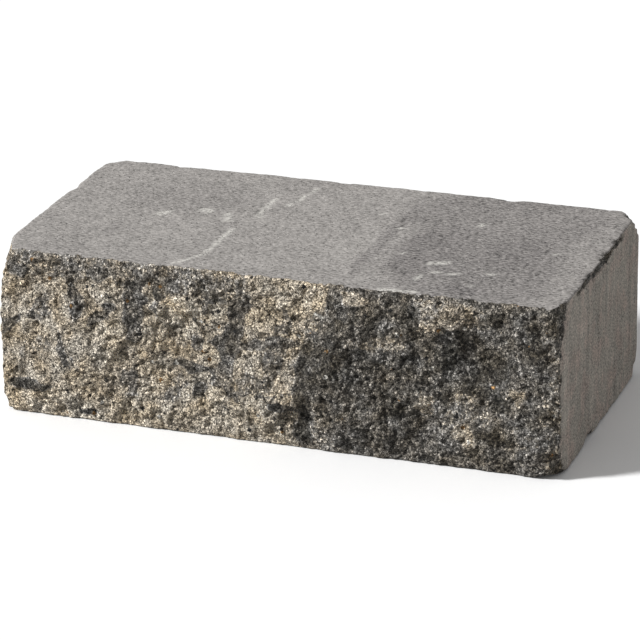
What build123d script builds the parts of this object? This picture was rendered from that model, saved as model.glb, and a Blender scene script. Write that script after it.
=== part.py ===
from build123d import *
from math import cos, hypot, pi, sin, sqrt
import os

# A split-face concrete wall block, pressed in a steel mould as half of a twin casting and then
# broken off its twin along the front. One solid: X runs along the wall, Y into the wall, Z up.
# The origin is on the underside, midway between the ends and midway between the split line and
# the back. All lengths are in millimetres.

# The block
LENGTH = 333.0  # along the wall, three to a metre
DEPTH = 162.0  # from the split line on the bed faces to the moulded back
HEIGHT = 100.0  # one course
ARRIS_WEAR = 1.8  # radius that handling leaves on the moulded edges

# The broken face: mounds and hollows, with waves of falling length between them. The relief is
# held down beside the four edges, where the splitting blades bite and the break runs true.
BELLY = 2.6  # how far the face stands proud of the split line on average
WAVE_COUNT = 8
LONGEST_WAVE = 150.0
WAVE_RATIO = 0.79  # each wave is this much shorter and lower than the one before
TALLEST_WAVE = 1.5
WAVE_TURN = 2.39996  # radians from one wave's direction to the next, the golden angle
WAVE_SHIFT = 1.7  # radians from one wave's phase to the next
BLADE_BITE = 16.0  # width of the band beside each edge where the relief dies out
EDGE_SHARE = 0.18  # share of the relief that is left on the edge itself
SAMPLE_STEP = 12.0  # spacing of the points that the broken face is drawn through
SURFACE_TOLERANCE = 0.1  # how far the drawn surface may pass from those points
TWIN_STOCK = 30.0  # how much of the twin is modelled in front of the split line
SIDE_STOCK = 8.0  # how far the breaking surface runs past the block

# The largest forms on the broken face. Each row: middle along the block from its left end,
# middle above the underside, radius and height, which is negative for a hollow.
FORMS = {
    "left_mound": (50.0, 48.0, 30.0, 4.0),
    "left_foot": (26.0, 20.0, 24.0, 2.4),
    "upper_left_mound": (114.0, 72.0, 24.0, 2.6),
    "middle_mound": (164.0, 34.0, 30.0, 3.2),
    "upper_ridge": (206.0, 82.0, 28.0, 3.0),
    "right_foot": (302.0, 24.0, 28.0, 2.6),
    "left_hollow": (83.0, 36.0, 25.0, -3.2),
    "upper_left_hollow": (82.0, 86.0, 24.0, -2.2),
    "middle_hollow": (186.0, 12.0, 22.0, -3.0),
    "wide_hollow": (232.0, 46.0, 34.0, -2.4),
    "right_hollow": (284.0, 70.0, 26.0, -3.6),
}

# Beds on the broken face: shallow bowls that the largest clods left when they stayed on the twin.
# They are scattered evenly, each one a fixed share of the length and height on from the last.
BED_COUNT = 16
SMALLEST_BED = 8.0  # radius of the least bed's rim
LARGEST_BED = 16.0  # radius that the beds' rims grow towards
BED_SLOPE = 0.17  # depth of a bed as a share of its rim's radius
BED_MARGIN = 10.0  # nearest that a bed's middle comes to the edges of the broken face
BED_STEP_ALONG = 0.7548777
BED_STEP_UP = 0.5698403
# Two deep ones. Each row: middle from the left end, middle above the underside, rim and depth.
DEEP_BEDS = {
    "right_pit": (289.0, 64.0, 12.0, 4.0),
    "foot_pit": (183.0, 14.0, 9.0, 3.0),
}

# Corners knocked off in handling. Each row: end (-1 left, 1 right), side (-1 front, 1 back),
# level (-1 bottom, 1 top), then how far the break reaches along X, Y and Z from the corner.
CORNER_CHIPS = {
    "left_front_top_long": (-1, -1, 1, 5.2, 26.0, 40.0),
    "left_front_top_short": (-1, -1, 1, 10.0, 22.0, 24.0),
    "left_front_bottom": (-1, -1, -1, 5.0, 10.0, 9.0),
    "right_front_top": (1, -1, 1, 5.0, 16.0, 34.0),
    "right_front_bottom_long": (1, -1, -1, 7.0, 12.0, 20.0),
    "right_front_bottom_short": (1, -1, -1, 14.0, 14.0, 8.0),
    "right_back_top": (1, 1, 1, 12.0, 15.0, 15.0),
    "left_back_top": (-1, 1, 1, 10.0, 11.0, 6.0),
}

# A corner scooped out hollow. Each row: end, side and level as above, how far the hollow
# reaches along each of the corner's edges, and its radius.
CORNER_SCOOPS = {
    "right_back_bottom": (1, 1, -1, 11.5, 12.5),
}

# Shallow flakes off the moulded edges. Each row: the edge's two outward faces, the distance of
# the flake's middle along the edge (from the left end, or from the split line), its length and
# its depth square to the edge.
EDGE_FLAKES = {
    "right_bottom_wide": ("right", "bottom", 58.0, 30.0, 2.8),
    "right_bottom_narrow": ("right", "bottom", 83.0, 14.0, 1.5),
    "right_bottom_rear": ("right", "bottom", 106.0, 26.0, 1.5),
    "right_top_front": ("right", "top", 52.0, 16.0, 1.5),
    "right_top_middle": ("right", "top", 86.0, 18.0, 1.8),
    "right_top_rear": ("right", "top", 113.0, 16.0, 1.6),
    "back_top_left": ("back", "top", 50.0, 22.0, 1.7),
    "back_top_middle": ("back", "top", 151.0, 16.0, 2.4),
    "back_top_right": ("back", "top", 254.0, 24.0, 1.9),
    "left_top": ("left", "top", 108.0, 16.0, 1.7),
}

OUTWARD = {
    "left": Vector(-1, 0, 0),
    "right": Vector(1, 0, 0),
    "front": Vector(0, -1, 0),
    "back": Vector(0, 1, 0),
    "bottom": Vector(0, 0, -1),
    "top": Vector(0, 0, 1),
}


def from_centre(right, back, up):
    """The point at these shares of the half length, half depth and half height from the middle."""
    return Vector(right * LENGTH / 2, back * DEPTH / 2, HEIGHT / 2 + up * HEIGHT / 2)


def ease(t):
    """0 below 0, 1 above 1 and a smooth S between."""
    t = min(max(t, 0.0), 1.0)
    return t * t * (3 - 2 * t)


def relief(x, z):
    """How far the broken face stands in front of the split line at x along and z up."""
    total = BELLY
    for k in range(WAVE_COUNT):
        shrink = WAVE_RATIO**k
        along = x * cos(k * WAVE_TURN) + z * sin(k * WAVE_TURN)
        total += TALLEST_WAVE * shrink * sin(2 * pi * along / (LONGEST_WAVE * shrink) + k * WAVE_SHIFT)
    for middle_x, middle_z, radius, height in FORMS.values():
        away = hypot(x + LENGTH / 2 - middle_x, z - middle_z)
        total += height * ease(1 - away / radius)
    inset = min(LENGTH / 2 - abs(x), HEIGHT / 2 - abs(z - HEIGHT / 2))
    return total * (EDGE_SHARE + (1 - EDGE_SHARE) * ease(inset / BLADE_BITE))


def spaced(start, stop, step):
    """Even values from start to stop, no further apart than step."""
    gaps = max(int((stop - start) / step) + 1, 4)
    return [start + (stop - start) * i / gaps for i in range(gaps + 1)]


def casting():
    """The pressed block with some of its twin still on the front, its moulded edges worn round."""
    blank = Pos(0, -TWIN_STOCK / 2, HEIGHT / 2) * Box(LENGTH, DEPTH + TWIN_STOCK, HEIGHT)
    front_edges = blank.faces().sort_by(Axis.Y)[0].edges()
    return fillet([e for e in blank.edges() if e not in front_edges], ARRIS_WEAR)


def twin():
    """Everything in front of the surface along which the casting breaks."""
    across = spaced(-LENGTH / 2 - SIDE_STOCK, LENGTH / 2 + SIDE_STOCK, SAMPLE_STEP)
    upward = spaced(-SIDE_STOCK, HEIGHT + SIDE_STOCK, SAMPLE_STEP)
    points = [[Vector(x, -DEPTH / 2 - relief(x, z), z) for x in across] for z in upward]
    broken_face = Face.make_surface_from_array_of_points(points, tol=SURFACE_TOLERANCE)
    return extrude(broken_face, amount=2 * TWIN_STOCK, dir=OUTWARD["front"])


def scattered_beds():
    """The rows of the scattered beds, in the same form as those of the deep ones."""
    for n in range(BED_COUNT):
        middle_x = BED_MARGIN + n * BED_STEP_ALONG % 1 * (LENGTH - 2 * BED_MARGIN)
        middle_z = BED_MARGIN + n * BED_STEP_UP % 1 * (HEIGHT - 2 * BED_MARGIN)
        rim = SMALLEST_BED + (LARGEST_BED - SMALLEST_BED) * n / BED_COUNT
        yield middle_x, middle_z, rim, BED_SLOPE * rim


def clod_bed(middle_x, middle_z, rim, depth):
    """A ball that bites into the broken face to the given depth, inside a rim of that radius."""
    x = middle_x - LENGTH / 2
    radius = (rim**2 + depth**2) / (2 * depth)
    return Pos(x, -DEPTH / 2 - relief(x, middle_z) + depth - radius, middle_z) * Sphere(radius)


def corner_chip(end, side, level, reach_x, reach_y, reach_z):
    """The piece beyond the plane through three points, one on each edge that meets at a corner."""
    start = from_centre(end, side, level) - Vector(end * reach_x, 0, 0)
    outward = Vector(end / reach_x, side / reach_y, level / reach_z)
    size = 4 * max(reach_x, reach_y, reach_z)
    return Plane(start, z_dir=outward) * Box(size, size, size, align=(Align.CENTER, Align.CENTER, Align.MIN))


def corner_scoop(end, side, level, reach, radius):
    """A ball outside a corner that cuts each of the corner's edges at the given reach."""
    outward = Vector(end, side, level).normalized()
    lead = reach / sqrt(3)
    distance = sqrt(radius**2 - reach**2 + lead**2) - lead
    return Pos(from_centre(end, side, level) + outward * distance) * Sphere(radius)


def edge_flake(face_a, face_b, distance, length, depth):
    """A ball that bites into an edge to the given depth over the given length."""
    outward = OUTWARD[face_a] + OUTWARD[face_b]
    on_edge = from_centre(*outward)
    if outward.X == 0:
        on_edge += Vector(distance - LENGTH / 2, 0, 0)
    else:
        on_edge += Vector(0, distance - DEPTH / 2, 0)
    radius = (length**2 / 4 + depth**2) / (2 * depth)
    return Pos(on_edge + outward.normalized() * (radius - depth)) * Sphere(radius)


def wall_block():
    """The finished block: the casting broken off its twin, with its corners and edges chipped."""
    block = casting() - twin()
    block -= [clod_bed(*row) for row in [*DEEP_BEDS.values(), *scattered_beds()]]
    block -= [corner_chip(*row) for row in CORNER_CHIPS.values()]
    block -= [corner_scoop(*row) for row in CORNER_SCOOPS.values()]
    block -= [edge_flake(*row) for row in EDGE_FLAKES.values()]
    return block


os.makedirs("parts", exist_ok=True)
export_step(wall_block(), "parts/wall_block.step")
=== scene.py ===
import itertools
import math

import bpy
import numpy as np
from mathutils import Matrix, Vector


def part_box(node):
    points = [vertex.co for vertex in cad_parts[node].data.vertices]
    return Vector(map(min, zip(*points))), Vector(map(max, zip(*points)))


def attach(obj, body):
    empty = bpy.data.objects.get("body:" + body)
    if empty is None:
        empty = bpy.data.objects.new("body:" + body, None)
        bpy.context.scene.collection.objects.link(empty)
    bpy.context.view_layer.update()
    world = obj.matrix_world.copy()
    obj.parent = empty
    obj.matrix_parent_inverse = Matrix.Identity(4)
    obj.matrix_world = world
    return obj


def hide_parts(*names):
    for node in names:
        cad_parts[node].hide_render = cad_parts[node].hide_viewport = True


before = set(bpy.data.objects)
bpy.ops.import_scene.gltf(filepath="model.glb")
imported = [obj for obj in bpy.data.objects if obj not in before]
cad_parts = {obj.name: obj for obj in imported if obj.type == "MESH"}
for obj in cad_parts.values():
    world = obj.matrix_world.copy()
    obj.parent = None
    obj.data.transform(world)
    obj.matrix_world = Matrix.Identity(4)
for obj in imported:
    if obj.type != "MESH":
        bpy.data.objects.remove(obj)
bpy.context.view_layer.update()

# The block's faces. One dry-cast concrete block, pressed in a steel mould as half of a twin and
# broken off its twin along the front. Its outer face is tiled with small squares, finest on the
# broken front and along the edges, and larger where the mould left it flat. Lengths in mm.
MM = 0.001
low_corner, high_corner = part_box("wall_block")
LOW_X, LOW_Y, LOW_Z = [c / MM for c in low_corner]
HIGH_X, HIGH_Y, HIGH_Z = [c / MM for c in high_corner]
LENGTH = HIGH_X - LOW_X
HEIGHT = HIGH_Z - LOW_Z
DEPTH = 162.0  # from the split line on the bed faces to the moulded back
BACK = HIGH_Y
SPLIT_LINE = BACK - DEPTH
FINEST = 0.72  # the side of the smallest squares
LARGEST = 8  # the side of the largest squares, in smallest ones
TOUCHING = 1e-6  # how near to a face a point counts as on it
# A square's corners and the middles of its sides in turn, in half sides from its lowest corner.
HALF_RING = np.array([(0, 0), (1, 0), (2, 0), (2, 1), (2, 2), (1, 2), (0, 2), (0, 1)])
IS_CORNER = HALF_RING.sum(1) % 2 == 0
EVERYWHERE = 10**6  # a distance that takes in every square
# For each face: the axis that it faces along, whether it is at that axis's far end, and the two
# axes along its sides, in the order that turns its squares outwards.
FACE_AXES = {
    "right": (0, True, (1, 2)),
    "left": (0, False, (2, 1)),
    "back": (1, True, (2, 0)),
    "front": (1, False, (0, 2)),
    "top": (2, True, (0, 1)),
    "bottom": (2, False, (1, 0)),
}
# How near to the face's border, in smallest squares, a square of each size is still quartered.
QUARTER_WITHIN = {
    "front": {8: EVERYWHERE, 4: EVERYWHERE, 2: EVERYWHERE},
    "top": {8: EVERYWHERE, 4: 8, 2: 2},
    "right": {8: EVERYWHERE, 4: 8, 2: 2},
    "left": {8: 24, 4: 8, 2: 2},
    "back": {8: 24, 4: 8, 2: 2},
    "bottom": {8: 24, 4: 8, 2: 2},
}
counts = np.array([round(side / FINEST / LARGEST) * LARGEST for side in (LENGTH, DEPTH, HEIGHT)])


def squares(sides, within):
    """Lowest corners and sizes of the squares that tile a face of sides[0] by sides[1] steps.

    The face starts in the largest squares, and each that comes within the given distance of the
    border is quartered, size by size.
    """
    size = LARGEST
    grid = np.meshgrid(np.arange(0, sides[0], size), np.arange(0, sides[1], size), indexing="ij")
    corners = np.stack(grid, -1).reshape(-1, 2)
    kept = []
    while size > 1:
        inset = np.minimum(corners, sides - size - corners).min(1)
        near = inset < within[size]
        kept.append((corners[~near], size))
        size //= 2
        quarters = np.array([(0, 0), (size, 0), (0, size), (size, size)])
        corners = (corners[near][:, None] + quarters).reshape(-1, 2)
    kept.append((corners, 1))
    sizes = [np.full(len(corners), size) for corners, size in kept]
    return np.concatenate([corners for corners, _ in kept]), np.concatenate(sizes)


def box_tiles():
    """Every face's squares as one closed skin: the points, each polygon's first loop, the loops.

    A polygon has its square's four corners and, on a side with smaller neighbours, the middle of
    that side too, so that no crack opens between sizes. A point's number is its steps along X, Y
    and Z written as one, so that squares share the points where they meet.
    """
    rings, halves = [], []
    count_y, count_z = counts[1] + 1, counts[2] + 1
    for name, (facing, at_far_end, sides) in FACE_AXES.items():
        corner, size = squares(counts[list(sides)], QUARTER_WITHIN[name])
        around = corner[:, None] + HALF_RING * size[:, None, None] // 2
        place = np.zeros((len(corner), 8, 3), dtype=np.int64)
        place[..., facing] = counts[facing] * at_far_end
        place[..., sides[0]] = around[..., 0]
        place[..., sides[1]] = around[..., 1]
        rings.append((place[..., 0] * count_y + place[..., 1]) * count_z + place[..., 2])
        halves.append(~IS_CORNER & (size[:, None] > 1))
    rings, halves = np.concatenate(rings), np.concatenate(halves)
    used = np.unique(rings[:, IS_CORNER])
    kept = IS_CORNER | (halves & np.isin(rings, used))
    loops = np.searchsorted(used, rings[kept])
    starts = np.concatenate([[0], np.cumsum(kept.sum(1))[:-1]])
    steps = np.stack([used // (count_y * count_z), used // count_z % count_y, used % count_z], 1)
    return steps, starts, loops


steps, starts, loops = box_tiles()
SHARP_LOW = np.array([LOW_X, SPLIT_LINE, LOW_Z])
SHARP_HIGH = np.array([HIGH_X, BACK, HIGH_Z])
sharp = SHARP_LOW + (SHARP_HIGH - SHARP_LOW) * steps / counts


# The broken front. The splitting blades bite along its four edges and the break runs wild
# between them: mounds and hollows, then clods as large as a pea, then single grains of sand.
BELLY = 2.6  # how far the break stands in front of the split line on average
WAVE_COUNT = 8
LONGEST_WAVE = 150.0
WAVE_RATIO = 0.79  # each wave is this much shorter and lower than the one before
TALLEST_WAVE = 1.5
WAVE_TURN = 2.39996  # radians from one wave's direction to the next, the golden angle
WAVE_SHIFT = 1.7  # radians from one wave's phase to the next
BLADE_BITE = 16.0  # width of the band beside each edge where mounds and hollows die out
EDGE_SHARE = 0.18  # share of them that is left on the edge itself
# Each row: middle along the block from its left end, middle above the underside, radius, height.
FORMS = {
    "left_mound": (50.0, 48.0, 30.0, 4.0),
    "left_foot": (26.0, 20.0, 24.0, 2.4),
    "upper_left_mound": (114.0, 72.0, 24.0, 2.6),
    "middle_mound": (164.0, 34.0, 30.0, 3.2),
    "upper_ridge": (206.0, 82.0, 28.0, 3.0),
    "right_foot": (302.0, 24.0, 28.0, 2.6),
    "left_hollow": (83.0, 36.0, 25.0, -3.2),
    "upper_left_hollow": (82.0, 86.0, 24.0, -2.2),
    "middle_hollow": (186.0, 12.0, 22.0, -3.0),
    "wide_hollow": (232.0, 46.0, 34.0, -2.4),
    "right_hollow": (284.0, 70.0, 26.0, -3.6),
}
# Beds that the largest clods left: each a shallow bowl, a fixed share of the way on from the last.
BED_COUNT = 16
SMALLEST_BED = 8.0  # radius of the least bed's rim
LARGEST_BED = 16.0  # radius that the rims grow towards
BED_SLOPE = 0.17  # depth as a share of the rim's radius
BED_MARGIN = 10.0  # nearest that a bed's middle comes to the edges
BED_STEP_ALONG = 0.7548777
BED_STEP_UP = 0.5698403
# Two deep ones. Each row: middle from the left end, middle above the underside, rim and depth.
DEEP_BEDS = {
    "right_pit": (289.0, 64.0, 12.0, 4.0),
    "foot_pit": (183.0, 14.0, 9.0, 3.0),
}
# Finer than these the break is lumpy: each lump is a dome of its own height. The lumps stand on
# end and lean to the right, as the break ran down the block.
LUMP = 11.0  # mean width of a lump
LUMP_STRETCH = 2.0  # mean height as a share of the width
LUMP_LEAN = 0.3  # how far a lump leans to the right for its height
LUMP_CROWN = 1.2  # how far a dome has fallen off one mean width from its middle
LUMP_TILT = 1.6  # most that it rises or falls across one mean width
LUMP_SPREAD = 0.9  # how far the lowest dome lies behind the highest
CLOD = 5.2  # the same for clods
CLOD_CROWN = 1.8
CLOD_TILT = 3.8
CLOD_SPREAD = 1.6
GRAIN = 2.0  # and for grains
GRAIN_CROWN = 1.2
GRAIN_TILT = 2.2
GRAIN_SPREAD = 1.0
GRAIN_BEND = 0.6  # share of the lumps' and clods' bends that the grains take
# Noise that bends them all out of true. Each row: how far it moves a point, its width and seed.
BENDS = ((1.6, 7.0, 41), (0.7, 2.3, 44))
# Noise laid over the grains. Each row: its height, its width and seed.
FINE_WAVES = ((0.4, 3.2, 33), (0.4, 1.5, 34))
MEAN_DEPTH = 1.9  # how far lumps, clods and grains lie behind their highest crowns, together
SEAM_FROM = 0.2  # depth behind a crown where its seam begins
CLOD_SEAM = 1.4  # how much deeper a seam between clods is at its deepest
GRAIN_SEAM = 0.9
TURNED_IN = 8.0  # how far behind the edge the moulded faces follow the mounds and hollows
GRAIN_TURNED_IN = TURNED_IN / 3  # and the grains
CLEAN_EDGE = 5.0  # width of the band beside the split edges that the blades left nearly smooth
CLEAN_SHARE = 0.35  # share of the depth that is left on the edge itself


def ease(t):
    """0 below 0, 1 above 1 and a smooth S between."""
    t = np.clip(t, 0.0, 1.0)
    return t * t * (3 - 2 * t)


def dice(i, j, k, seed):
    """A fixed random number from 0 to 1 for each whole-number place.

    The coordinates are multiplied by large numbers, and the sum's bits are folded over.
    """
    h = (i * 374761393 + j * 668265263 + k * 1274126177 + seed * 97531) & 0xFFFFFFFF
    h = ((h ^ (h >> 13)) * 1103515245) & 0xFFFFFFFF
    h = ((h ^ (h >> 16)) * 1540483477) & 0xFFFFFFFF
    return ((h ^ (h >> 15)) & 0xFFFFFF) / 0xFFFFFF


def noise(p, size, seed):
    """Smooth noise from -1 to 1: dice at the corners of cubes of that size, blended by S-curves."""
    cell = np.floor(p / size).astype(np.int64)
    t = ease(p / size - cell)
    total = 0.0
    for corner in itertools.product((0, 1), repeat=3):
        share = np.where(np.array(corner) == 1, t, 1 - t).prod(1)
        total = total + share * dice(*(cell + corner).T, seed)
    return 2 * total - 1


def waves(p, *rows):
    """The sum of smooth noises at the points p. Each row: its height, its width and its seed."""
    return sum(height * noise(p, width, seed) for height, width, seed in rows)


def packed(p, size, crown, tilt, spread, seed):
    """Depth below the highest crown of tilted domes packed that far apart, over the points p.

    One middle is thrown at random into each cube. Its dome falls off with the squared distance,
    plus a slope and a height of its own, and the foremost dome is the one that shows.
    """
    cell = np.floor(p / size).astype(np.int64)
    depth = np.full(len(p), np.inf)
    for step in itertools.product((-1, 0, 1), repeat=3):
        place = (cell + step).T
        middle = place + np.stack([dice(*place, seed + n) for n in range(3)])
        slope = np.stack([dice(*place, seed + n) for n in range(3, 6)]) - 0.5
        away = p.T / size - middle
        fall = (crown * away**2 + tilt * slope * away).sum(0)
        depth = np.minimum(depth, fall + spread * dice(*place, seed + 6) ** 2)
    return depth


def mounds(x, z):
    """How far the break stands in front of the split line: the belly, the waves and the forms.

    A wave is the sine of the distance along its own direction. A form is an S-curve from its rim
    to its middle. Beside the edges all of it fades to a share.
    """
    total = np.full(np.shape(x), BELLY)
    for k in range(WAVE_COUNT):
        shrink = WAVE_RATIO**k
        along = x * math.cos(k * WAVE_TURN) + z * math.sin(k * WAVE_TURN)
        phase = 2 * math.pi * along / (LONGEST_WAVE * shrink) + k * WAVE_SHIFT
        total += TALLEST_WAVE * shrink * np.sin(phase)
    for middle_x, middle_z, radius, height in FORMS.values():
        total += height * ease(1 - np.hypot(x - LOW_X - middle_x, z - middle_z) / radius)
    inset = np.minimum(LENGTH / 2 - np.abs(x), HEIGHT / 2 - np.abs(z - HEIGHT / 2))
    return total * (EDGE_SHARE + (1 - EDGE_SHARE) * ease(inset / BLADE_BITE))


def relief(x, z):
    """The mounds with the clods' beds bitten into them, each by a ball in front of the face."""
    total = mounds(x, z)
    rows = list(DEEP_BEDS.values())
    for n in range(BED_COUNT):
        rim = SMALLEST_BED + (LARGEST_BED - SMALLEST_BED) * n / BED_COUNT
        middle_x = BED_MARGIN + n * BED_STEP_ALONG % 1 * (LENGTH - 2 * BED_MARGIN)
        middle_z = BED_MARGIN + n * BED_STEP_UP % 1 * (HEIGHT - 2 * BED_MARGIN)
        rows.append((middle_x, middle_z, rim, BED_SLOPE * rim))
    for middle_x, middle_z, rim, bed_depth in rows:
        radius = (rim**2 + bed_depth**2) / (2 * bed_depth)
        away = np.minimum(np.hypot(x - LOW_X - middle_x, z - middle_z), radius)
        bottom = mounds(np.array(middle_x + LOW_X), np.array(middle_z)) - bed_depth
        total = np.minimum(total, bottom + radius - np.sqrt(radius**2 - away**2))
    return total


def fracture(p):
    """Broken concrete at the points p: its depth behind the relief, and how deep in a seam it is.

    Lumps, clods and grains are packed domes, bent out of true by smooth noise. Their crowns stand
    in front of the relief and their seams lie behind it.
    """
    bent = p.copy()
    for reach, width, seed in BENDS:
        bent += reach * np.stack([noise(p, width, seed + axis) for axis in range(3)], 1)
    x, y, z = bent.T
    leaning = np.stack([x - LUMP_LEAN * z, y, z / LUMP_STRETCH], 1)
    lumps = packed(leaning, LUMP, LUMP_CROWN, LUMP_TILT, LUMP_SPREAD, 5)
    clods = packed(bent, CLOD, CLOD_CROWN, CLOD_TILT, CLOD_SPREAD, 15)
    half_bent = p + GRAIN_BEND * (bent - p)
    grains = packed(half_bent, GRAIN, GRAIN_CROWN, GRAIN_TILT, GRAIN_SPREAD, 25)
    depth = lumps + clods + grains + waves(p, *FINE_WAVES) - MEAN_DEPTH
    # How deep in a seam a point lies, which the material paints as shade.
    seam_shade = ease((clods - SEAM_FROM) / CLOD_SEAM) + ease((grains - SEAM_FROM) / GRAIN_SEAM)
    return depth, seam_shade / 2


from_split = sharp[:, 1] - SPLIT_LINE
on_front = from_split < TOUCHING
at_front = sharp.copy()
at_front[:, 1] = SPLIT_LINE
depth, seam_shade = fracture(at_front)
forward = relief(sharp[:, 0], sharp[:, 2]) * ease(1 - from_split / TURNED_IN)
from_edge = np.minimum(sharp[:, 2], HEIGHT - sharp[:, 2])
depth *= CLEAN_SHARE + (1 - CLEAN_SHARE) * ease(from_edge / CLEAN_EDGE)
forward -= depth * ease(1 - from_split / GRAIN_TURNED_IN)

# The edges and corners. Handling has rubbed the moulded edges round and unevenly, flaked them in
# places and knocked the corners off, which bares the same broken grain as on the front.
WEAR = 1.9  # mean radius of a worn edge
WEAR_WAVES = ((0.7, 11.0, 51), (0.5, 4.0, 52))  # how it varies along the edge
WEAR_NICK = 0.9  # how much further the smallest nicks go
SPLIT_EDGE = 0.3  # share of the radius on the broken side of a split edge
CRISP_FROM = 30.0  # from the split line, where the right end's top edge begins to be sharp
CRISP_TO = 126.0
CRISP_FADE = 6.0  # length of edge over which it turns sharp at both ends
CRISP_BAND = 8.0  # width of the band beside the edge that is sharp
CRISP_LOSS = 0.75  # share of the radius that is missing there
KNOCK_SOFTNESS = 0.45  # how gently a break runs out into the face
ROUGH_WAVES = ((1.1, 6.0, 61), (0.8, 2.6, 62), (0.3, 1.5, 63))  # of the concrete that a break bares
ROUGH_BEHIND = 2.0  # how far behind a break's surface its roughness begins
BARED_FROM = 0.6  # depth of a break that begins to show broken grain
BARED_FADE = 0.8  # how much deeper it shows nothing else
RIM = 0.5  # mean width of the broken grain along the split edges of the moulded faces
RIM_WAVES = ((1.1, 5.0, 56), (0.9, 2.0, 57))  # how that width varies
RIM_FADE = 0.7  # width over which it gives way to the skin
WIDEST_RIM = 3.0
# Each row: end, side and level of the corner, then how far the break reaches along X, Y and Z.
CORNER_CHIPS = {
    "left_front_top_long": (-1, -1, 1, 5.2, 26.0, 40.0),
    "left_front_top_short": (-1, -1, 1, 10.0, 22.0, 24.0),
    "left_front_bottom": (-1, -1, -1, 5.0, 10.0, 9.0),
    "right_front_top": (1, -1, 1, 5.0, 16.0, 34.0),
    "right_front_bottom_long": (1, -1, -1, 7.0, 12.0, 20.0),
    "right_front_bottom_short": (1, -1, -1, 14.0, 14.0, 8.0),
    "right_back_top": (1, 1, 1, 12.0, 15.0, 15.0),
    "left_back_top": (-1, 1, 1, 10.0, 11.0, 6.0),
}
# A corner scooped out hollow: end, side and level, its reach along each edge, and its radius.
CORNER_SCOOPS = {
    "right_back_bottom": (1, 1, -1, 11.5, 12.5),
}
# Flakes off the edges: the edge's outward direction, the flake's middle along the edge, its
# length, and its depth square to the edge.
EDGE_FLAKES = {
    "right_bottom_wide": ((1, 0, -1), 58.0, 30.0, 2.8),
    "right_bottom_narrow": ((1, 0, -1), 83.0, 14.0, 1.5),
    "right_bottom_rear": ((1, 0, -1), 106.0, 26.0, 1.5),
    "right_top_front": ((1, 0, 1), 52.0, 16.0, 1.5),
    "right_top_middle": ((1, 0, 1), 86.0, 18.0, 1.8),
    "right_top_rear": ((1, 0, 1), 113.0, 16.0, 1.6),
    "back_top_left": ((0, 1, 1), 50.0, 22.0, 1.7),
    "back_top_middle": ((0, 1, 1), 151.0, 16.0, 2.4),
    "back_top_right": ((0, 1, 1), 254.0, 24.0, 1.9),
    "left_top": ((-1, 0, 1), 108.0, 16.0, 1.7),
}
HALF_SIZE = (SHARP_HIGH - SHARP_LOW) / 2
MIDDLE = (SHARP_HIGH + SHARP_LOW) / 2


def unit(v):
    """The vector or vectors v at a length of 1, or 0 where v is 0."""
    return v / np.maximum(np.linalg.norm(v, axis=-1, keepdims=True), 1e-9)


def worn(p, radius):
    """The sharp box with its edges rounded to an uneven radius.

    Each point is split into the nearest point of a box smaller by the radius all round, and the
    way from there, which is then set to one radius.
    """
    reach = np.stack([radius, np.where(p[:, 1] < MIDDLE[1], SPLIT_EDGE * radius, radius), radius], 1)
    core = np.clip(p, SHARP_LOW + reach, SHARP_HIGH - reach)
    return core + unit((p - core) / reach) * reach


def pressed_in(amount):
    """How far a point is pushed for its distance beyond the cut: none inside, all of it outside.

    The logarithm of 1 plus the exponential of the distance, both at the scale of the softness.
    """
    return KNOCK_SOFTNESS * np.logaddexp(0.0, amount / KNOCK_SOFTNESS)


crisp = ease((sharp[:, 0] - HIGH_X + CRISP_BAND) / (CRISP_BAND / 2))
crisp *= ease((sharp[:, 2] - HEIGHT + CRISP_BAND) / (CRISP_BAND / 2))
crisp *= ease((from_split - CRISP_FROM) / CRISP_FADE) * ease((CRISP_TO - from_split) / CRISP_FADE)
wear = WEAR + waves(sharp, *WEAR_WAVES) + WEAR_NICK * np.maximum(noise(sharp, 2.4, 53), 0.0)
shape = worn(sharp, wear * (1 - CRISP_LOSS * crisp))
shape[:, 1] -= forward
rough = waves(sharp, *ROUGH_WAVES)
knocked = np.zeros(len(sharp))
for end, side, level, reach_x, reach_y, reach_z in CORNER_CHIPS.values():
    corner = MIDDLE + np.array([end, side, level]) * HALF_SIZE
    outward = unit(np.array([end / reach_x, side / reach_y, level / reach_z]))
    beyond = (shape - corner + [end * reach_x, 0, 0]) @ outward
    cut = pressed_in(beyond + rough * ease(beyond / ROUGH_BEHIND + 1))
    shape -= cut[:, None] * outward
    knocked = np.maximum(knocked, cut)
# Hollow breaks are balls that bite in: each row a middle and a radius.
balls = []
for end, side, level, reach, radius in CORNER_SCOOPS.values():
    outward = unit(np.array([end, side, level], dtype=float))
    lead = reach / math.sqrt(3)
    distance = math.sqrt(radius**2 - reach**2 + lead**2) - lead
    balls.append((MIDDLE + np.array([end, side, level]) * HALF_SIZE + outward * distance, radius))
for direction, distance, length, flake_depth in EDGE_FLAKES.values():
    outward = np.array(direction, dtype=float)
    on_edge = MIDDLE + outward * HALF_SIZE
    along = 0 if direction[0] == 0 else 1
    on_edge[along] = SHARP_LOW[along] + distance
    radius = (length**2 / 4 + flake_depth**2) / (2 * flake_depth)
    balls.append((on_edge + unit(outward) * (radius - flake_depth), radius))
for middle, radius in balls:
    beyond = radius - np.linalg.norm(shape - middle, axis=1)
    cut = pressed_in(beyond + rough * ease(beyond / ROUGH_BEHIND + 1))
    shape += cut[:, None] * unit(shape - middle)
    knocked = np.maximum(knocked, cut)
shape = np.clip(shape, [LOW_X, LOW_Y, LOW_Z], [HIGH_X, HIGH_Y, HIGH_Z])
rim = ease((RIM + waves(sharp, *RIM_WAVES) - from_split) / RIM_FADE + 1) * (from_split < WIDEST_RIM)
bared = ease((knocked - BARED_FROM) / BARED_FADE)
broken = np.maximum(np.maximum(rim, bared), on_front)

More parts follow.
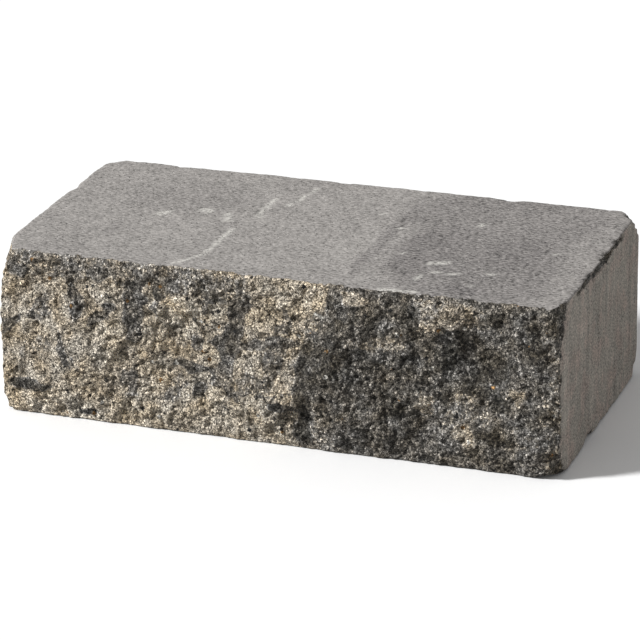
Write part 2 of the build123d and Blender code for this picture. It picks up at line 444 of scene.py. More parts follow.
# Along the top of the right end the pressed skin stands over a torn strip, with pits behind it.
# Each row: middle from the split line, half length, how far down the tear reaches, and its depth.
LIP_TEARS = {
    "front": (46.0, 20.0, 4.5, 1.6),
    "middle": (80.0, 24.0, 6.5, 2.2),
    "rear": (110.0, 20.0, 5.0, 1.8),
}
LIP = 0.7  # thickness of the skin over the tears
LIP_FADE = 0.6  # how far below the skin a tear reaches its full depth
TEAR_FADE = 1.5  # how gently a tear runs out downwards
torn_along = from_split + waves(sharp, (3.0, 6.0, 65))
below_top = HEIGHT - sharp[:, 2] + waves(sharp, (0.7, 4.0, 66), (0.5, 1.8, 69))
# The shares of a tear's depth and of the painted shade in its pits that are there, both uneven.
pitted = 0.6 + waves(sharp, (0.4, 2.2, 67))
tear_shade_share = 0.55 + waves(sharp, (0.45, 2.8, 68))
on_end = sharp[:, 0] > HIGH_X - TOUCHING
seam_shade *= on_front
for middle, half_length, reach, tear_depth in LIP_TEARS.values():
    torn = on_end * ease(2 * (1 - np.abs(torn_along - middle) / half_length))
    torn *= ease((reach - below_top) / TEAR_FADE) * ease((below_top - LIP) / LIP_FADE)
    shape[:, 0] -= tear_depth * torn * pitted
    broken = np.maximum(broken, torn)
    # Painted shade darkens the tear's pits, as it does the seam lines.
    seam_shade = np.maximum(seam_shade, torn * tear_shade_share)

# The concrete's two mixes. A beige mix and a charcoal mix were fed to the mould in turns and ran
# into each other, so the break runs from beige through grey to charcoal, in drifts and smears.
# The same drifts also paint the light and shade of the break's relief, as darker and lighter mix.
BEIGE_SHARE = 0.04  # share of charcoal where no drift lies
DRIFT_RIM = 2.4  # how steeply a drift ends: at 1 it would fade all the way from its middle
# Each row: middle from the left end and above the underside, half length, half height, tilt in
# degrees, and the share of charcoal there. Below 0 the beige is lighter than the mix. The rows
# for the dark leaning strips, the ledge and the shade rows paint the shade on shaded flanks and
# under ledges, partly over real darker mix; the pit rows darken the pit with painted shadow over
# real charcoal; and the rows named light, bright, lit and gleam paint light where the relief is lit.
DRIFTS_AND_PAINTED_SHADING = {
    "right_half": (300.0, 50.0, 149.0, 180.0, 0.0, 0.7),
    "top_band": (72.0, 96.0, 100.0, 14.0, 0.0, 0.48),
    "top_band_drop": (128.0, 91.0, 34.0, 14.0, 0.0, 0.46),
    "foot_light": (48.0, 6.0, 64.0, 17.0, 0.0, -0.32),
    "core": (228.0, 36.0, 46.0, 34.0, -10.0, 0.76),
    "core_top": (203.0, 60.0, 22.0, 13.0, 70.0, 0.92),
    "core_edge": (187.0, 44.0, 28.0, 9.0, 84.0, 0.9),
    "core_foot": (186.0, 15.0, 17.0, 6.5, 82.0, 1.0),
    "core_spot": (237.0, 29.0, 7.0, 5.0, 0.0, 1.0),
    "core_strip": (246.0, 60.0, 14.0, 6.0, 80.0, 0.86),
    "grey_middle": (228.0, 69.0, 20.0, 8.0, 0.0, 0.4),
    "grey_top": (268.0, 89.0, 34.0, 12.0, 0.0, 0.34),
    "foot_beige": (284.0, 36.0, 34.0, 13.0, 25.0, 0.48),
    "far_foot": (310.0, 20.0, 16.0, 16.0, 0.0, 0.55),
    "pit_side": (297.0, 58.0, 13.0, 8.0, 20.0, 0.85),
    "steep_pit": (272.0, 69.0, 16.0, 9.0, 55.0, 0.98),
    "pit": (291.0, 60.0, 14.0, 10.0, 60.0, 1.0),
    "foot_strip": (265.0, 36.0, 11.0, 5.0, 62.0, 0.85),
    "foot_spot_right": (295.0, 21.0, 13.0, 5.0, 0.0, 1.0),
    "right_strip": (320.0, 78.0, 14.0, 7.0, 84.0, 0.95),
    "right_rim": (330.0, 44.0, 56.0, 7.0, 90.0, 0.5),
    "ridge": (182.0, 90.0, 24.0, 13.0, 12.0, -0.2),
    "ridge_end": (217.0, 95.0, 13.0, 5.0, 0.0, 0.2),
    "ridge_shade": (204.0, 83.0, 17.0, 7.0, 78.0, 0.85),
    "ridge_spot": (223.0, 79.0, 10.0, 5.0, 80.0, 0.9),
    "top_left_spot": (12.0, 89.0, 8.0, 5.0, 0.0, 0.6),
    "top_left_shade_strip": (48.0, 78.0, 22.0, 6.0, 82.0, 0.66),
    "upper_ledge_shadow": (66.0, 68.0, 10.0, 4.5, 20.0, 0.74),
    "upper_shade": (87.0, 72.0, 28.0, 9.0, 80.0, 0.7),
    "lower_shade": (77.0, 37.0, 26.0, 6.5, 84.0, 0.14),
    "top_shade_strip": (102.0, 83.0, 17.0, 4.5, 80.0, 0.62),
    "middle_shade": (114.0, 51.0, 15.0, 11.0, 60.0, 0.24),
    "leaning_shade_strip_a": (128.0, 77.0, 18.0, 4.5, 72.0, 0.58),
    "leaning_shade_strip_b": (142.0, 54.0, 50.0, 7.0, 77.0, 0.66),
    "ridge_shade_strip": (172.0, 76.0, 12.0, 3.5, 80.0, 0.56),
    "middle_smear": (118.0, 40.0, 30.0, 3.2, -3.0, 0.74),
    "centre_smear": (156.0, 61.0, 34.0, 4.0, 3.0, 0.66),
    "foot_shade": (106.0, 26.0, 14.0, 7.0, 60.0, 0.5),
    "middle_strip": (168.0, 51.0, 13.0, 6.0, 80.0, 0.56),
    "lit_patch": (116.0, 74.0, 15.0, 13.0, 0.0, -0.3),
    "lit_patch_right": (161.0, 77.0, 10.0, 12.0, 70.0, -0.15),
    "left_upper_shade": (26.0, 65.0, 12.0, 8.0, 60.0, 0.5),
    "strip_knot": (139.0, 60.0, 13.0, 7.0, 60.0, 0.85),
    "foot_cloud": (151.0, 36.0, 20.0, 8.0, 10.0, 0.5),
    "foot_lit": (130.0, 25.0, 9.0, 9.0, 0.0, -0.2),
    "top_knot": (246.0, 87.0, 14.0, 7.0, 60.0, 0.85),
    "upper_light": (71.0, 81.0, 8.0, 7.0, 0.0, -0.3),
    "upper_left_light": (38.0, 82.0, 10.0, 7.0, 0.0, -0.2),
    "low_light": (91.0, 30.0, 8.0, 8.0, 0.0, -0.3),
    "middle_light": (101.0, 50.0, 8.0, 16.0, 0.0, -0.2),
    "centre_light": (131.0, 49.0, 7.0, 9.0, 0.0, -0.2),
    "foot_gleam": (168.0, 11.0, 9.0, 9.0, 0.0, -0.3),
    "core_gleam": (255.0, 36.0, 10.0, 9.0, 0.0, 0.3),
    "right_cloud": (289.0, 50.0, 12.0, 7.0, 0.0, 0.95),
    "band_knot": (64.0, 92.0, 12.0, 6.0, 0.0, 0.75),
    "band_knot_right": (106.0, 91.0, 9.0, 5.0, 0.0, 0.7),
    "left_knot": (52.0, 36.0, 7.0, 3.0, 100.0, 0.5),
    "left_haze": (26.0, 42.0, 12.0, 9.0, 0.0, 0.35),
    "middle_knot": (120.0, 57.0, 8.0, 9.0, 0.0, 0.62),
    "right_gleam": (280.0, 20.0, 9.0, 8.0, 0.0, 0.2),
    "upper_gleam": (71.0, 60.0, 11.0, 8.0, 0.0, -0.3),
    "low_gleam": (69.0, 40.0, 6.0, 9.0, 0.0, -0.3),
    "low_knot": (81.0, 30.0, 11.0, 4.5, 84.0, 0.6),
    "top_gleam": (271.0, 90.0, 8.0, 7.0, 0.0, 0.1),
    "top_knot_right": (292.0, 90.0, 8.0, 6.0, 0.0, 0.85),
    "far_gleam": (312.0, 49.0, 7.0, 6.0, 0.0, 0.25),
    "pit_rim": (300.0, 62.0, 14.0, 4.5, 0.0, 0.95),
    "far_knot": (300.0, 40.0, 7.0, 6.0, 0.0, 0.95),
    "foot_smear": (150.0, 32.0, 30.0, 2.4, 4.0, 0.5),
    "left_smear": (8.0, 55.0, 13.0, 2.6, 38.0, 0.8),
    "left_strip": (12.0, 34.0, 16.0, 6.0, 70.0, 0.3),
    "left_thin_strip": (44.0, 44.0, 13.0, 3.2, 116.0, 0.66),
    "foot_spot_left": (19.0, 20.0, 17.0, 4.0, 4.0, 0.9),
    "foot_spot_a": (54.0, 6.0, 10.0, 3.6, 0.0, 0.85),
    "foot_spot_b": (121.0, 28.0, 7.0, 4.4, 0.0, 0.9),
    "foot_spot_c": (144.0, 27.0, 6.0, 4.4, 0.0, 0.8),
    "foot_spot_d": (176.0, 26.0, 9.0, 4.0, 0.0, 0.8),
}


def drifting(across, up, rows, start):
    """A share that begins at the start value and is pulled to each oval drift's own aim in turn.

    The pull fades from the oval's middle to its rim by an S-curve.
    """
    share = np.full(len(across), start)
    for middle_across, middle_up, half_length, half_height, tilt, aim in rows:
        turn = math.radians(tilt)
        along = (across - middle_across) * math.cos(turn) + (up - middle_up) * math.sin(turn)
        aside = (up - middle_up) * math.cos(turn) - (across - middle_across) * math.sin(turn)
        inside = 1 - np.hypot(along / half_length, aside / half_height)
        share += (aim - share) * ease(DRIFT_RIM * inside)
    return share


def charcoal_and_painted_shading_share(p):
    """Charcoal share at the points p, with painted light and shade, moved by smooth noise to be ragged."""
    x = p[:, 0] - LOW_X + waves(p, (4.0, 12.0, 71), (2.5, 5.0, 72))
    z = p[:, 2] + waves(p, (3.0, 12.0, 73), (2.0, 5.0, 74))
    return drifting(x, z, DRIFTS_AND_PAINTED_SHADING.values(), BEIGE_SHARE)


# The pressed faces. Cement skin on the top, with lime that has bloomed white along scratches and
# in spots, and a darker, damper part to the right of a wandering line.
BLOOM_CORE = 1.25  # bloom on the line itself, where more than 1 is a full core
BLOOM_FADE = 1.6  # how much of it is lost across one width
BLOOM_WAVE = 5.0  # width of the noise that makes its outline uneven
# Each row: two ends of a streak, in mm from the left end and from the split line, and its width.
BLOOMS = {
    "blob": ((68.0, 79.0), (71.0, 82.0), 6.0),
    "small_blob": ((90.0, 92.0), (94.0, 90.0), 5.0),
    "streak": ((105.5, 89.0), (111.0, 77.5), 3.0),
    "scratch_front": ((107.0, 4.0), (115.0, 20.0), 2.4),
    "scratch": ((117.0, 23.0), (117.0, 65.0), 2.4),
    "rear_scratch_a": ((125.0, 90.0), (123.0, 122.0), 2.4),
    "rear_scratch_b": ((129.0, 82.0), (126.0, 92.0), 1.8),
    "rear_scratch_c": ((134.5, 112.0), (142.0, 147.0), 1.8),
    "right_line": ((247.0, 36.0), (256.0, 33.5), 2.2),
    "right_line_end": ((256.0, 33.5), (264.5, 37.0), 2.2),
    "right_dash": ((279.5, 41.0), (288.0, 41.5), 1.8),
    "right_scratch": ((246.0, 32.0), (244.0, 22.0), 2.2),
    "speckle": ((244.0, 47.0), (252.0, 50.0), 5.0),
    "front_rim": ((230.0, 2.0), (250.0, 3.0), 3.4),
    "dot_a": ((231.0, 137.0), (231.0, 138.0), 2.2),
    "dot_b": ((192.0, 116.0), (193.0, 116.0), 2.4),
    "dot_c": ((253.0, 112.0), (254.0, 117.0), 3.0),
    "dot_d": ((282.0, 82.0), (283.0, 82.0), 2.0),
    "dot_e": ((306.0, 81.0), (307.0, 81.0), 2.4),
    "dot_f": ((274.5, 19.0), (277.0, 18.0), 2.2),
    "dot_g": ((209.0, 95.0), (212.0, 95.0), 2.0),
    "dot_h": ((224.5, 57.0), (224.5, 58.0), 2.0),
}
DRY_SKIN = 0.15  # how dark the skin is where no patch lies
# Each row: middle from the left end and from the split line, half length, half width, tilt in
# degrees, and how dark.
DAMP_PATCHES = {
    "rear": (268.0, 128.0, 78.0, 62.0, 0.0, 0.7),
    "front": (276.0, 48.0, 70.0, 72.0, 0.0, 0.75),
    "boundary": (207.0, 82.0, 88.0, 6.0, 90.0, 0.7),
    "between": (217.0, 60.0, 50.0, 5.0, 90.0, 0.3),
    "darkest": (238.0, 66.0, 50.0, 24.0, 92.0, 0.9),
    "right_core": (282.0, 72.0, 30.0, 22.0, 80.0, 0.92),
    "front_smudge": (274.0, 12.0, 14.0, 8.0, 0.0, 1.0),
    "left_cloud": (74.0, 108.0, 44.0, 34.0, 30.0, 0.36),
    "left_streak": (52.0, 46.0, 16.0, 5.0, 85.0, 0.45),
    "rear_cloud": (132.0, 145.0, 20.0, 16.0, 0.0, 0.3),
    "light_patch": (194.0, 57.0, 26.0, 12.0, 80.0, -0.25),
    "right_end": (331.0, 70.0, 110.0, 22.0, 90.0, 0.4),
}


def bloom(p):
    """White bloom from 0 to 1: for each streak, how near the point is to the line between its ends."""
    place = np.stack([p[:, 0] - LOW_X, p[:, 1] - SPLIT_LINE], 1)
    place = place + np.stack([noise(p, BLOOM_WAVE, 81), noise(p, BLOOM_WAVE, 82)], 1)
    total = np.zeros(len(p))
    for start, end, width in BLOOMS.values():
        start, run = np.array(start), np.array(end) - start
        share = np.clip((place - start) @ run / (run @ run), 0, 1)
        away = np.linalg.norm(place - start - share[:, None] * run, axis=1)
        total = np.maximum(total, ease(BLOOM_CORE - BLOOM_FADE * away / width))
    return total * (p[:, 2] > HEIGHT / 2)


def damp(p):
    """How dark the top's skin is, with the patches made ragged by smooth noise."""
    x = p[:, 0] - LOW_X + waves(p, (3.0, 22.0, 91), (2.0, 8.0, 92))
    y = p[:, 1] - SPLIT_LINE + waves(p, (3.0, 22.0, 93))
    return drifting(x, y, DAMP_PATCHES.values(), DRY_SKIN)


facing_side = (sharp[:, 2] > TOUCHING) & (sharp[:, 2] < HEIGHT - TOUCHING)
# What the concrete's material reads at each point: how far it is broken, charcoal (with the
# drifts' painted light and shade), deep in a seam (which it paints as shade), bloomed and damp,
# each from 0 to 1, and whether it is on an upright side.
attributes = {
    "broken": broken,
    "charcoal_and_painted_shading": charcoal_and_painted_shading_share(sharp),
    "seam_shade": seam_shade,
    "bloom": bloom(sharp),
    "damp": damp(sharp),
    "side": facing_side.astype(float),
}

mesh = bpy.data.meshes.new("wall_block_skin")
mesh.vertices.add(len(shape))
mesh.vertices.foreach_set("co", (shape * MM).ravel())
mesh.loops.add(len(loops))
mesh.loops.foreach_set("vertex_index", loops)
mesh.polygons.add(len(starts))
mesh.polygons.foreach_set("loop_start", starts)
mesh.update(calc_edges=True)
mesh.validate()
mesh.shade_smooth()
for name, values in attributes.items():
    mesh.attributes.new(name, "FLOAT", "POINT").data.foreach_set("value", values.astype(np.float32))
block = bpy.data.objects.new("split_face_block", mesh)
bpy.context.scene.collection.objects.link(block)


# Dry-cast concrete, as pressed and as broken. Matt all over. Broken, it is sand and grit of mixed
# colours, with cement dust between them and dark gaps, partly dark cement and partly painted
# shade. Pressed, it is grey cement skin with pinholes, dragged up and down where it slid in the
# mould. Widths and heights in mm.
GRIT = 1.6  # mean width of the grains that show in the break
SAND = 0.9  # mean width of the finest ones
GRIT_BEND = 1.6  # how far noise bends the grains out of true
GRIT_BEND_WIDTH = 1.1
CRUMB = 1.1  # mean width of a crumb of cement and sand
CHIP = 3.4  # one stone chip at most to a cell this wide
CHIP_SHARE = 0.055  # share of those cells that have a chip
SMEAR = 4.5  # width of the smears where one mix ran into the other
CLOT = 1.7  # width of the clots of one mix in the other
PATCH = 14.0  # width of the warmer and cooler patches
FACET_SLOPE = 3.6  # steepest rise of a grain's broken face over its run
CRUMB_HEIGHT = 5.6  # of the tallest crumb above the deepest gap
# The two mixes' colours by the share of charcoal, and the chips' by the number that is thrown.
MIX_COLOURS = [
    (0.0, "#F0E6D5"), (0.25, "#E5DAC9"), (0.42, "#C0BAB0"),
    (0.56, "#A4A19D"), (0.75, "#85827D"), (1.0, "#595650"),
]
CHIP_COLOURS = [(0.0, "#3E3D3C"), (0.015, "#5A5650"), (0.035, "#A98458"), (0.04, "#E8E4DA")]
WARMTH = [(0.3, "#EDE2D0"), (0.65, "#FFFFFF")]  # tint of the warmer patches and of the rest
CLOUD = 45.0  # width of the clouds in the pressed skin
MOTTLE = 7.0  # width of its mottling
POWDER = 1.3  # width of its powdery grain, which is twice as long along the block
DRAG_LINE = 2.2  # width of the lines that the mould dragged up and down the sides
DRAG_STREAK = 11.0  # and of the broad streaks
PINHOLE = 3.0  # one pinhole to a cell this wide
PINHOLE_DEPTH = 0.35
# A pinhole's darkening is painted shade.
PINHOLE_SHADE = 0.35  # share of the light that it takes away
POWDER_HEIGHT = 0.6
DRY_TOP = "#9F9B97"
DAMP_TOP = "#7C7876"
# The sides' colours are lighter than the top's, partly their own tone and partly painted light that lifts
# the shaded right end.
SIDE_SKIN_WITH_PAINTED_LIGHT = "#BBB4AA"
PINK_SKIN_WITH_PAINTED_LIGHT = "#BEB0A6"
LIME = "#D6D3CC"
CONCRETE_ROUGHNESS = 0.93
CONCRETE_SPECULAR = 0.25


def linear(hex_colour):
    """An sRGB hex colour as linear red, green, blue and an alpha of 1."""
    channels = [int(hex_colour[n:n + 2], 16) / 255 for n in (1, 3, 5)]
    return [c / 12.92 if c <= 0.04045 else ((c + 0.055) / 1.055) ** 2.4 for c in channels] + [1.0]


def add_node(tree, kind, inputs=None, stops=None, **settings):
    """Adds a node with its settings, inputs (values or outputs) and ramp stops. Gives its outputs."""
    node = tree.nodes.new(kind)
    for name, value in settings.items():
        setattr(node, name, value)
    for socket, value in (inputs or {}).items():
        if isinstance(value, bpy.types.NodeSocket):
            tree.links.new(value, node.inputs[socket])
        else:
            node.inputs[socket].default_value = value
    for n, (place, colour) in enumerate(stops or []):
        element = node.color_ramp.elements[n] if n < 2 else node.color_ramp.elements.new(place)
        element.position = place
        element.color = linear(colour)
    return node.outputs


concrete = bpy.data.materials.new("dry_cast_concrete")
concrete.use_nodes = True
tree = concrete.node_tree
surface = tree.nodes["Principled BSDF"]
place = add_node(tree, "ShaderNodeTexCoord")["Object"]
given = {name: add_node(tree, "ShaderNodeAttribute", attribute_name=name)["Fac"] for name in attributes}

# The grains' cells. Each cell has a colour thrown for it, whose channels serve as its numbers.
bend = add_node(tree, "ShaderNodeTexNoise", {
    "Vector": place, "Scale": 1 / (GRIT_BEND_WIDTH * MM), "Detail": 2.0})["Color"]
bent = add_node(tree, "ShaderNodeVectorMath", {
    0: bend, 1: [GRIT_BEND * MM] * 3, 2: place}, operation="MULTIPLY_ADD")[0]
grit = add_node(tree, "ShaderNodeTexVoronoi", {"Vector": bent, "Scale": 1 / (GRIT * MM)})
grit_dice = add_node(tree, "ShaderNodeSeparateColor", {0: grit["Color"]})
gap = add_node(tree, "ShaderNodeTexVoronoi", {
    "Vector": bent, "Scale": 1 / (GRIT * MM)}, feature="DISTANCE_TO_EDGE")["Distance"]
sand = add_node(tree, "ShaderNodeTexVoronoi", {"Vector": bent, "Scale": 1 / (SAND * MM)})
sand_dice = add_node(tree, "ShaderNodeSeparateColor", {0: sand["Color"]})
chips = add_node(tree, "ShaderNodeTexVoronoi", {
    "Vector": bent, "Scale": 1 / (CHIP * MM)}, distance="MANHATTAN")
chip_dice = add_node(tree, "ShaderNodeSeparateColor", {0: chips["Color"]})
pinholes = add_node(tree, "ShaderNodeTexVoronoi", {
    "Vector": place, "Scale": 1 / (PINHOLE * MM)})["Distance"]

# Smooth noises. Each row: what it lies on, its width, its detail and its roughness.
stretched = add_node(tree, "ShaderNodeMapping", {"Vector": place, "Scale": (0.5, 1.0, 1.0)})[0]
drawn_far = add_node(tree, "ShaderNodeMapping", {"Vector": place, "Scale": (1.0, 1.0, 0.06)})[0]
drawn_out = add_node(tree, "ShaderNodeMapping", {"Vector": place, "Scale": (1.0, 1.0, 0.22)})[0]
noise_rows = {
    "smear": (place, SMEAR, 4.0, 0.65),
    "clot": (bent, CLOT, 3.0, 0.5),
    "patch": (place, PATCH, 2.0, 0.5),
    "crumbs": (place, CRUMB, 3.0, 0.6),
    "cloud": (place, CLOUD, 4.0, 0.5),
    "mottle": (place, MOTTLE, 3.0, 0.5),
    "powder": (stretched, POWDER, 3.0, 0.65),
    "drag_lines": (drawn_far, DRAG_LINE, 3.0, 0.5),
    "streaks": (drawn_out, DRAG_STREAK, 3.0, 0.5),
}
noises = {}
for name, (vector, width, detail, roughness) in noise_rows.items():
    noises[name] = add_node(tree, "ShaderNodeTexNoise", {
        "Vector": vector, "Scale": 1 / (width * MM), "Detail": detail, "Roughness": roughness})[0]

# The break's colour. In a Map Range node 0 is the value, 1 and 2 are what it runs from and to,
# and 3 and 4 what it becomes. In a Mix node 0 is the share, and 6 and 7 are the colours, or 2
# and 3 the numbers.
smeared = add_node(tree, "ShaderNodeMapRange", {0: noises["smear"], 1: 0.3, 2: 0.7, 3: -0.2, 4: 0.2})[0]
speckled = add_node(tree, "ShaderNodeMapRange", {0: grit_dice[0], 3: -0.07, 4: 0.07})[0]
clotted = add_node(tree, "ShaderNodeMapRange", {0: noises["clot"], 1: 0.3, 2: 0.7, 3: -0.2, 4: 0.2})[0]
mixing = add_node(tree, "ShaderNodeMapRange", {0: given["charcoal_and_painted_shading"], 1: 0.1, 2: 0.45})[0]
clotted = add_node(tree, "ShaderNodeMath", {0: clotted, 1: mixing}, operation="MULTIPLY")[0]
share = given["charcoal_and_painted_shading"]
for change in (smeared, speckled, clotted):
    share = add_node(tree, "ShaderNodeMath", {0: share, 1: change})[0]
mix_colour = add_node(tree, "ShaderNodeValToRGB", {0: share}, stops=MIX_COLOURS)[0]
warmth = add_node(tree, "ShaderNodeValToRGB", {0: noises["patch"]}, stops=WARMTH)[0]
grain_colour = add_node(tree, "ShaderNodeMix", {
    0: 1.0, 6: mix_colour, 7: warmth}, data_type="RGBA", blend_type="MULTIPLY")[2]
is_chip = add_node(tree, "ShaderNodeMapRange", {0: chips["Distance"], 1: 0.62, 2: 0.5})[0]
chip_colour = add_node(tree, "ShaderNodeValToRGB", {0: chip_dice[0]}, stops=CHIP_COLOURS)[0]
chip_colour.node.color_ramp.interpolation = "CONSTANT"
chosen = add_node(tree, "ShaderNodeMath", {0: chip_dice[0], 1: CHIP_SHARE}, operation="LESS_THAN")[0]
chosen = add_node(tree, "ShaderNodeMath", {0: chosen, 1: is_chip}, operation="MULTIPLY")[0]
grain_colour = add_node(tree, "ShaderNodeMix", {
    0: chosen, 6: grain_colour, 7: chip_colour}, data_type="RGBA")[2]

# How light each grain is. Charcoal grains vary more than beige ones. Painted shade darkens the
# crumbs' low parts, the gaps between grains and the seam lines, where shade falls.
darkest_grain = add_node(tree, "ShaderNodeMapRange", {0: mixing, 3: 0.82, 4: 0.36})[0]
lightest_grain = add_node(tree, "ShaderNodeMapRange", {0: mixing, 3: 1.2, 4: 2.2})[0]
shade = add_node(tree, "ShaderNodeMapRange", {0: grit_dice[1], 3: darkest_grain, 4: lightest_grain})[0]
painted_crumb_shading = add_node(tree, "ShaderNodeMapRange", {
    0: noises["crumbs"], 1: 0.36, 2: 0.5, 3: 0.38, 4: 1.21})[0]
painted_gap_shading = add_node(tree, "ShaderNodeMapRange", {0: noises["clot"], 1: 0.42, 2: 0.58, 3: 0.05, 4: 0.7})[0]
painted_gap_shading = add_node(tree, "ShaderNodeMapRange", {0: gap, 1: 0.02, 2: 0.2, 3: painted_gap_shading, 4: 1.21})[0]
# Lighter beige where the drifts run below the mix, partly painted light.
paler_and_painted_light = add_node(tree, "ShaderNodeMapRange", {0: given["charcoal_and_painted_shading"], 1: -0.3, 2: 0.15, 3: 1.38, 4: 1.0})[0]
painted_seam_shade = add_node(tree, "ShaderNodeMapRange", {0: given["seam_shade"], 1: 0.1, 2: 0.9, 3: 1.08, 4: 0.55})[0]
sand_light = add_node(tree, "ShaderNodeMapRange", {0: sand_dice[0], 3: 0.72, 4: 1.36})[0]
for light in (painted_crumb_shading, painted_gap_shading, paler_and_painted_light, painted_seam_shade, sand_light):
    shade = add_node(tree, "ShaderNodeMath", {0: shade, 1: light}, operation="MULTIPLY")[0]
shade = add_node(tree, "ShaderNodeCombineColor", {0: shade, 1: shade, 2: shade})[0]
broken_colour = add_node(tree, "ShaderNodeMix", {
    0: 1.0, 6: grain_colour, 7: shade}, data_type="RGBA", blend_type="MULTIPLY")[2]

# The pressed skin's colour: dry or damp on the top, here and there pinker on the sides, whose
# colours are lighter than the top's partly as painted light.
skin = add_node(tree, "ShaderNodeMix", {
    0: given["damp"], 6: linear(DRY_TOP), 7: linear(DAMP_TOP)}, data_type="RGBA")[2]
pinker = add_node(tree, "ShaderNodeMapRange", {0: noises["patch"], 1: 0.45, 2: 0.65})[0]
side_skin_with_painted_light = add_node(tree, "ShaderNodeMix", {
    0: pinker, 6: linear(SIDE_SKIN_WITH_PAINTED_LIGHT), 7: linear(PINK_SKIN_WITH_PAINTED_LIGHT)}, data_type="RGBA")[2]
skin = add_node(tree, "ShaderNodeMix", {0: given["side"], 6: skin, 7: side_skin_with_painted_light}, data_type="RGBA")[2]

# How light the skin is: around 1, plus what each pattern adds or takes away. The pinholes take
# away painted shade.
skin_light = add_node(tree, "ShaderNodeMapRange", {0: noises["cloud"], 1: 0.3, 2: 0.7, 3: 0.93, 4: 1.07})[0]
mottled = add_node(tree, "ShaderNodeMapRange", {0: noises["mottle"], 1: 0.3, 2: 0.7, 3: -0.15, 4: 0.15})[0]
powdered = add_node(tree, "ShaderNodeMapRange", {
    0: noises["powder"], 1: 0.25, 2: 0.75, 3: -0.65, 4: 0.65})[0]
coarser = add_node(tree, "ShaderNodeMapRange", {0: given["damp"], 3: 1.0, 4: 1.8})[0]
powdered = add_node(tree, "ShaderNodeMath", {0: powdered, 1: coarser}, operation="MULTIPLY")[0]
dragged = add_node(tree, "ShaderNodeMapRange", {
    0: noises["drag_lines"], 1: 0.3, 2: 0.7, 3: -0.15, 4: 0.15})[0]
streaked = add_node(tree, "ShaderNodeMapRange", {0: noises["streaks"], 1: 0.3, 2: 0.7, 3: -0.16, 4: 0.16})[0]
dragged = add_node(tree, "ShaderNodeMath", {0: dragged, 1: streaked})[0]
dragged = add_node(tree, "ShaderNodeMath", {0: dragged, 1: given["side"]}, operation="MULTIPLY")[0]
hole = add_node(tree, "ShaderNodeMapRange", {0: pinholes, 1: 0.1, 2: 0.22, 3: 1.0, 4: 0.0})[0]
painted_pinhole_shade = add_node(tree, "ShaderNodeMath", {0: hole, 1: -PINHOLE_SHADE}, operation="MULTIPLY")[0]
for change in (mottled, powdered, dragged, painted_pinhole_shade):
    skin_light = add_node(tree, "ShaderNodeMath", {0: skin_light, 1: change})[0]
skin_light = add_node(tree, "ShaderNodeCombineColor", {0: skin_light, 1: skin_light, 2: skin_light})[0]
skin = add_node(tree, "ShaderNodeMix", {
    0: 1.0, 6: skin, 7: skin_light}, data_type="RGBA", blend_type="MULTIPLY")[2]
dusty = add_node(tree, "ShaderNodeMapRange", {0: noises["powder"], 1: 0.36, 2: 0.54, 3: 0.1, 4: 0.95})[0]
limed = add_node(tree, "ShaderNodeMath", {0: given["bloom"], 1: dusty}, operation="MULTIPLY")[0]
skin = add_node(tree, "ShaderNodeMix", {0: limed, 6: skin, 7: linear(LIME)}, data_type="RGBA")[2]

# Where the skin ends and the break begins, crumb by crumb.
ragged = add_node(tree, "ShaderNodeMapRange", {0: noises["crumbs"], 1: 0.3, 2: 0.7, 3: -0.35, 4: 0.35})[0]
bare = add_node(tree, "ShaderNodeMath", {0: given["broken"], 1: ragged})[0]
bare = add_node(tree, "ShaderNodeMapRange", {0: bare, 1: 0.4, 2: 0.6})[0]
colour = add_node(tree, "ShaderNodeMix", {0: bare, 6: skin, 7: broken_colour}, data_type="RGBA")[2]

# Heights. Each grain has broken along a face of its own tilt.
broken_height = add_node(tree, "ShaderNodeMath", {
    0: noises["crumbs"], 1: CRUMB_HEIGHT}, operation="MULTIPLY")[0]
for cells in (grit, sand):
    slope = add_node(tree, "ShaderNodeVectorMath", {
        0: cells["Color"], 1: [0.5] * 3}, operation="SUBTRACT")[0]
    away = add_node(tree, "ShaderNodeVectorMath", {
        0: bent, 1: cells["Position"]}, operation="SUBTRACT")[0]
    rise = add_node(tree, "ShaderNodeVectorMath", {0: slope, 1: away}, operation="DOT_PRODUCT")["Value"]
    rise = add_node(tree, "ShaderNodeMath", {0: rise, 1: FACET_SLOPE / MM}, operation="MULTIPLY")[0]
    broken_height = add_node(tree, "ShaderNodeMath", {0: broken_height, 1: rise})[0]
powder_height = add_node(tree, "ShaderNodeMath", {
    0: noises["powder"], 1: POWDER_HEIGHT}, operation="MULTIPLY")[0]
hole_height = add_node(tree, "ShaderNodeMath", {0: hole, 1: -PINHOLE_DEPTH}, operation="MULTIPLY")[0]
skin_height = add_node(tree, "ShaderNodeMath", {0: powder_height, 1: hole_height})[0]
height = add_node(tree, "ShaderNodeMix", {0: bare, 2: skin_height, 3: broken_height})[0]
bump = add_node(tree, "ShaderNodeBump", {"Strength": 1.0, "Distance": MM, "Height": height})[0]
tree.links.new(colour, surface.inputs["Base Color"])
tree.links.new(bump, surface.inputs["Normal"])
surface.inputs["Roughness"].default_value = CONCRETE_ROUGHNESS
surface.inputs["Specular IOR Level"].default_value = CONCRETE_SPECULAR
mesh.materials.append(concrete)
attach(block, "root")
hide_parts("wall_block")


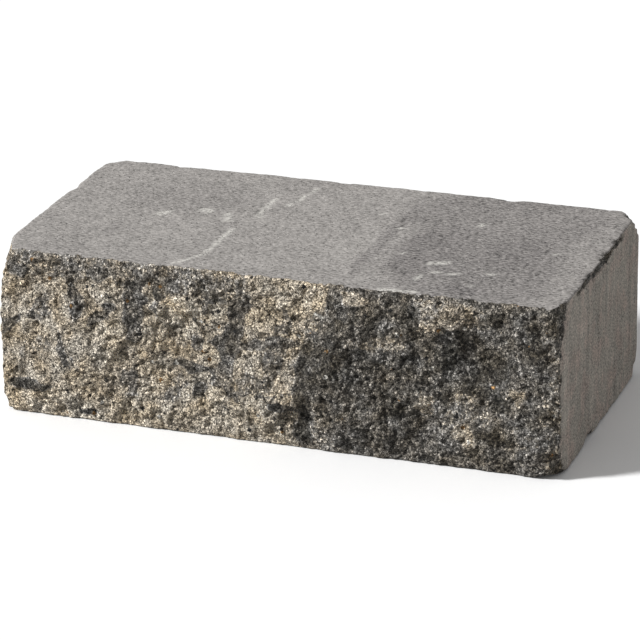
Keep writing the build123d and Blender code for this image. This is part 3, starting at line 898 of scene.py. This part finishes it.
# The studio. A pale floor that shows white to the camera and keeps the block's shadow, a soft sun
# from the upper left front, and an even pale sky.
FLOOR_HALF = 6.0  # metres
FLOOR_DROP = 0.0003  # metres that it lies below the block, so that the two don't flicker
FLOOR_GREY = "#8C8C8C"  # what the block is lit by
FLOOR_WHITE = "#FFFFFF"  # what the camera sees
SKY_LEVEL = 0.36  # how brightly the sky lights the block, where 1 is white
SUN_LEVEL = 1.38  # what the sun adds on a face turned straight to it
SUN_ANGLE = math.radians(9.0)  # how wide the sun looks, which softens the shadow's edge
SUN_FROM = Vector((-0.72, -0.47, 0.51))  # the way from the block to the sun
corner_signs = ((-1, -1), (1, -1), (1, 1), (-1, 1))
floor_corners = [(x * FLOOR_HALF, y * FLOOR_HALF, -FLOOR_DROP) for x, y in corner_signs]
floor_mesh = bpy.data.meshes.new("studio_floor")
floor_mesh.from_pydata(floor_corners, [], [(0, 1, 2, 3)])
floor = bpy.data.objects.new("studio_floor", floor_mesh)
bpy.context.scene.collection.objects.link(floor)
paper = bpy.data.materials.new("white_paper")
paper.use_nodes = True
sky = bpy.data.worlds.new("pale_sky")
sky.use_nodes = True
bpy.context.scene.world = sky
seen = {}
for owner in (paper, sky):
    rays = add_node(owner.node_tree, "ShaderNodeLightPath")
    seen[owner] = rays["Is Camera Ray"]
    for ray in ("Is Glossy Ray", "Is Transmission Ray"):
        seen[owner] = add_node(owner.node_tree, "ShaderNodeMath", {
            0: seen[owner], 1: rays[ray]}, operation="MAXIMUM")[0]

tree = paper.node_tree
shown = add_node(tree, "ShaderNodeMix", {
    0: seen[paper], 6: linear(FLOOR_GREY), 7: linear(FLOOR_WHITE)}, data_type="RGBA")[2]
tree.links.new(shown, tree.nodes["Principled BSDF"].inputs["Base Color"])
tree.nodes["Principled BSDF"].inputs["Roughness"].default_value = 1.0
tree.nodes["Principled BSDF"].inputs["Specular IOR Level"].default_value = 0.0
floor_mesh.materials.append(paper)

tree = sky.node_tree
level = add_node(tree, "ShaderNodeMapRange", {0: seen[sky], 3: SKY_LEVEL, 4: 1.0})[0]
tree.nodes["Background"].inputs["Color"].default_value = (1.0, 1.0, 1.0, 1.0)
tree.links.new(level, tree.nodes["Background"].inputs["Strength"])
sun_data = bpy.data.lights.new("soft_sun", "SUN")
sun_data.energy = math.pi * SUN_LEVEL
sun_data.angle = SUN_ANGLE
sun = bpy.data.objects.new("soft_sun", sun_data)
sun.rotation_euler = SUN_FROM.to_track_quat("Z", "Y").to_euler()
bpy.context.scene.collection.objects.link(sun)

# The camera stands where the photograph was taken from: to the left of the front, above the
# block, turned a little on its own axis, with a long lens. Lengths in metres.
AZIMUTH = math.radians(20.54)
ELEVATION = math.radians(21.75)
ROLL = math.radians(-1.20)
DISTANCE = 1.8605
AIM = Vector((-0.0017, 0.0, 0.0438))
FOCAL_PIXELS = 3213.4
IMAGE_PIXELS = 640
SENSOR_MM = 36.0
camera_data = bpy.data.cameras.new("camera")
camera_data.sensor_width = SENSOR_MM
camera_data.lens = FOCAL_PIXELS / IMAGE_PIXELS * SENSOR_MM
camera = bpy.data.objects.new("camera", camera_data)
level_share = math.cos(ELEVATION)
back = Vector((math.sin(AZIMUTH) * level_share, -math.cos(AZIMUTH) * level_share, math.sin(ELEVATION)))
right = Vector((math.cos(AZIMUTH), math.sin(AZIMUTH), 0.0))
up = back.cross(right)
turned_right = math.cos(ROLL) * right + math.sin(ROLL) * up
turned_up = math.cos(ROLL) * up - math.sin(ROLL) * right
turn = Matrix((turned_right, turned_up, back)).transposed().to_4x4()
camera.matrix_world = Matrix.Translation(AIM + back * DISTANCE) @ turn
bpy.context.scene.collection.objects.link(camera)
bpy.context.scene.camera = camera
bpy.context.scene.view_settings.view_transform = "Standard"
